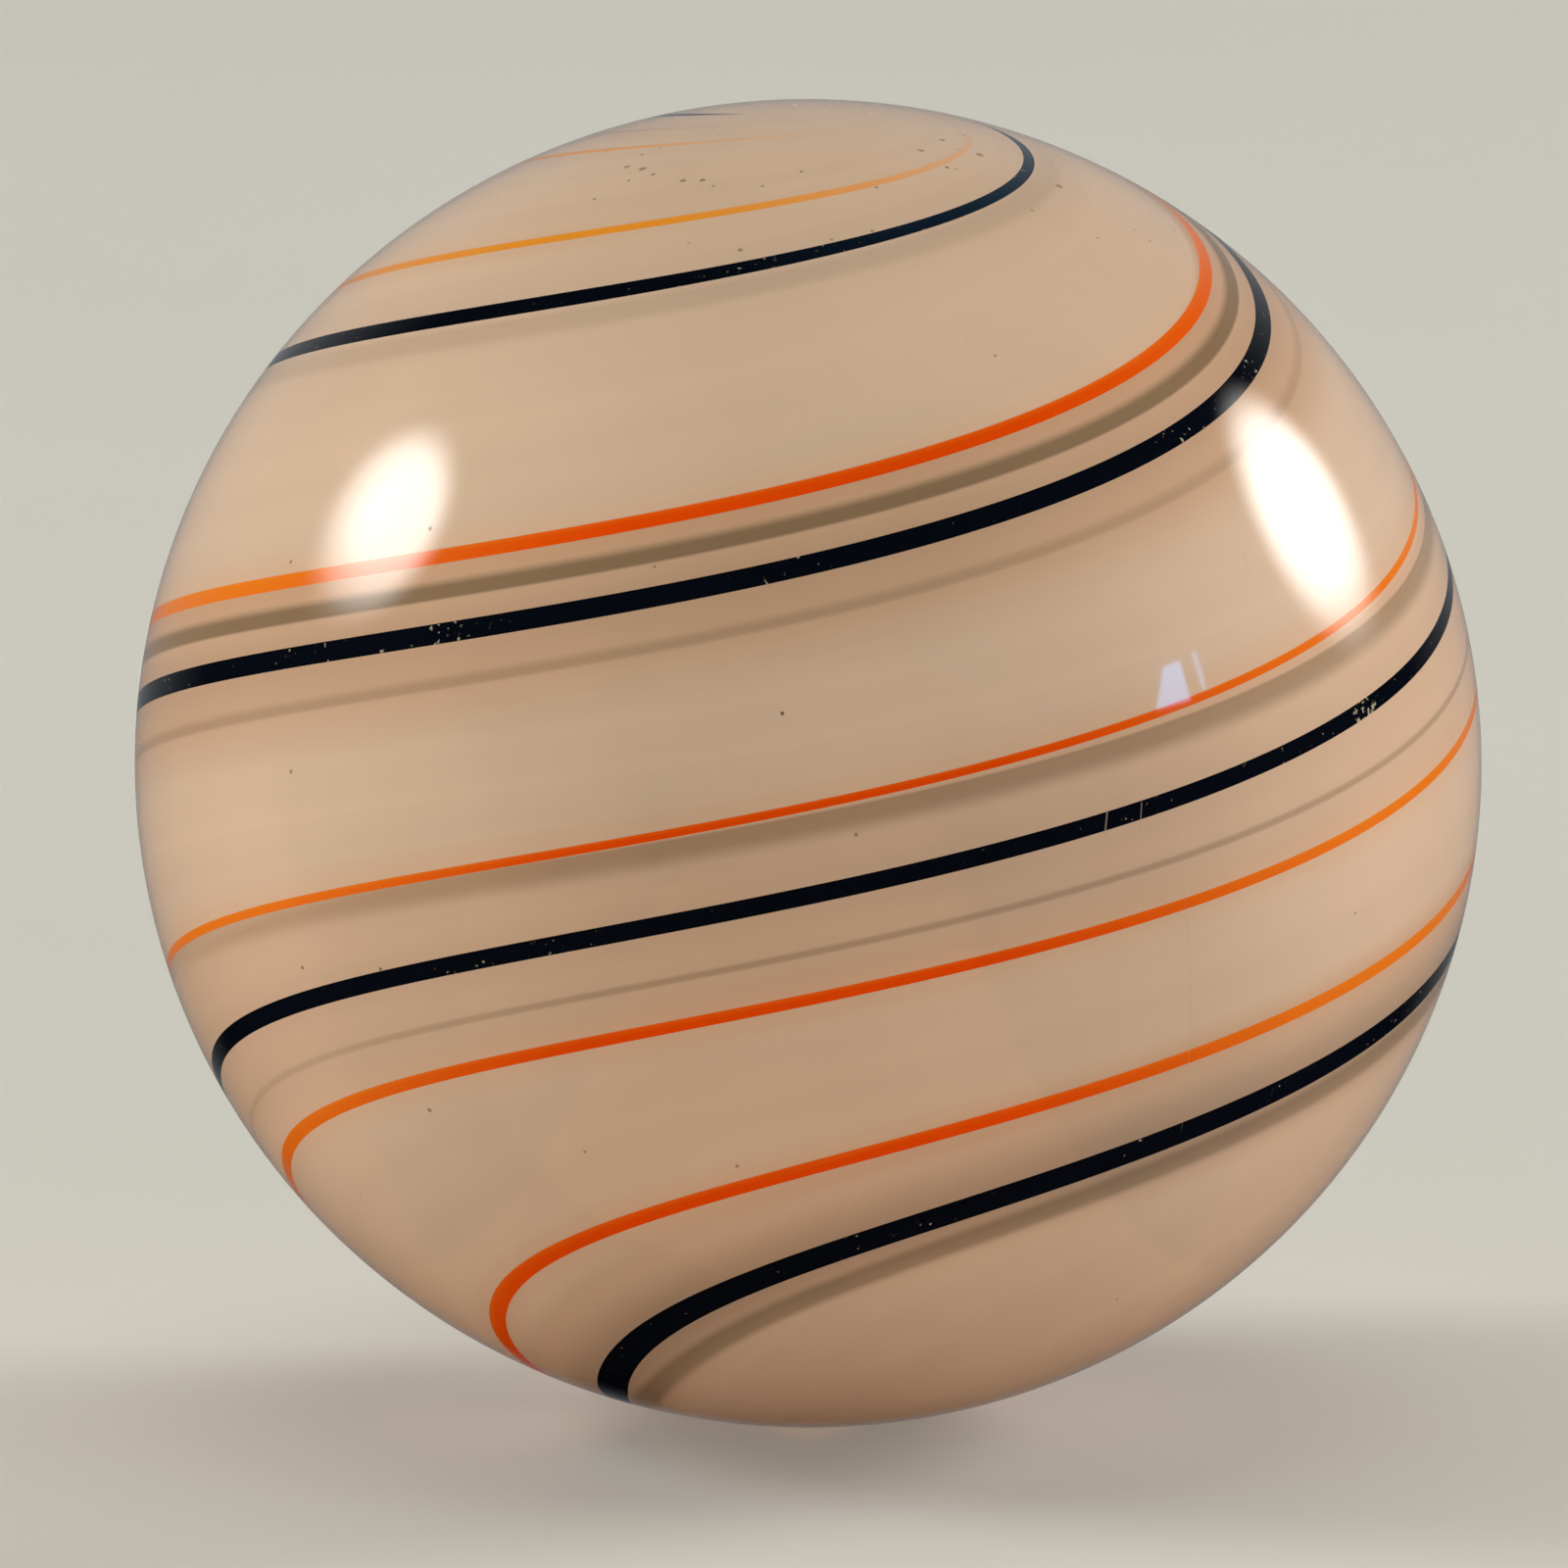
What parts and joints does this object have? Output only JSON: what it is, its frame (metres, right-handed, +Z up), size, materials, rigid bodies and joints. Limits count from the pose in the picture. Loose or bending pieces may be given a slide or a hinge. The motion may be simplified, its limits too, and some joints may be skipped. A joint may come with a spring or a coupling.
{
  "type": "glass marble",
  "caption": "Handmade swirl marble: a cream opal glass ball with navy and orange threads twisting from pole to pole over soft smoke-grey lines.",
  "frame": {"origin": "middle of the ball", "axes": "+Z up as the ball lies, close to the twist axis, which leans 3.7 degrees towards +X; -Y faces the viewer"},
  "size_m": [0.016, 0.016, 0.0158],
  "materials": {
    "opal_core_glass": "cream opal glass, fire polished",
    "opal_casing_glass": "milky cream opal glass, glossy, with faint dirt specks and scuffs",
    "smoke_glass": "smoke-grey glass, seen through the milky casing",
    "navy_glass": "dense navy glass, glossy, with pits and light scratches",
    "orange_glass": "orange glass, glossy"
  },
  "bodies": {
    "root": {"opal_core": "opal_core_glass", "opal_casing": "opal_casing_glass", "buried_thread_1": "smoke_glass", "buried_thread_2": "smoke_glass", "buried_thread_3": "smoke_glass", "buried_thread_4": "smoke_glass", "buried_thread_5": "smoke_glass", "navy_thread_1": "navy_glass", "navy_thread_2": "navy_glass", "navy_thread_3": "navy_glass", "orange_thread_1": "orange_glass", "orange_thread_2": "orange_glass", "orange_thread_3": "orange_glass", "orange_thread_4": "orange_glass"}
  },
  "joints": []
}
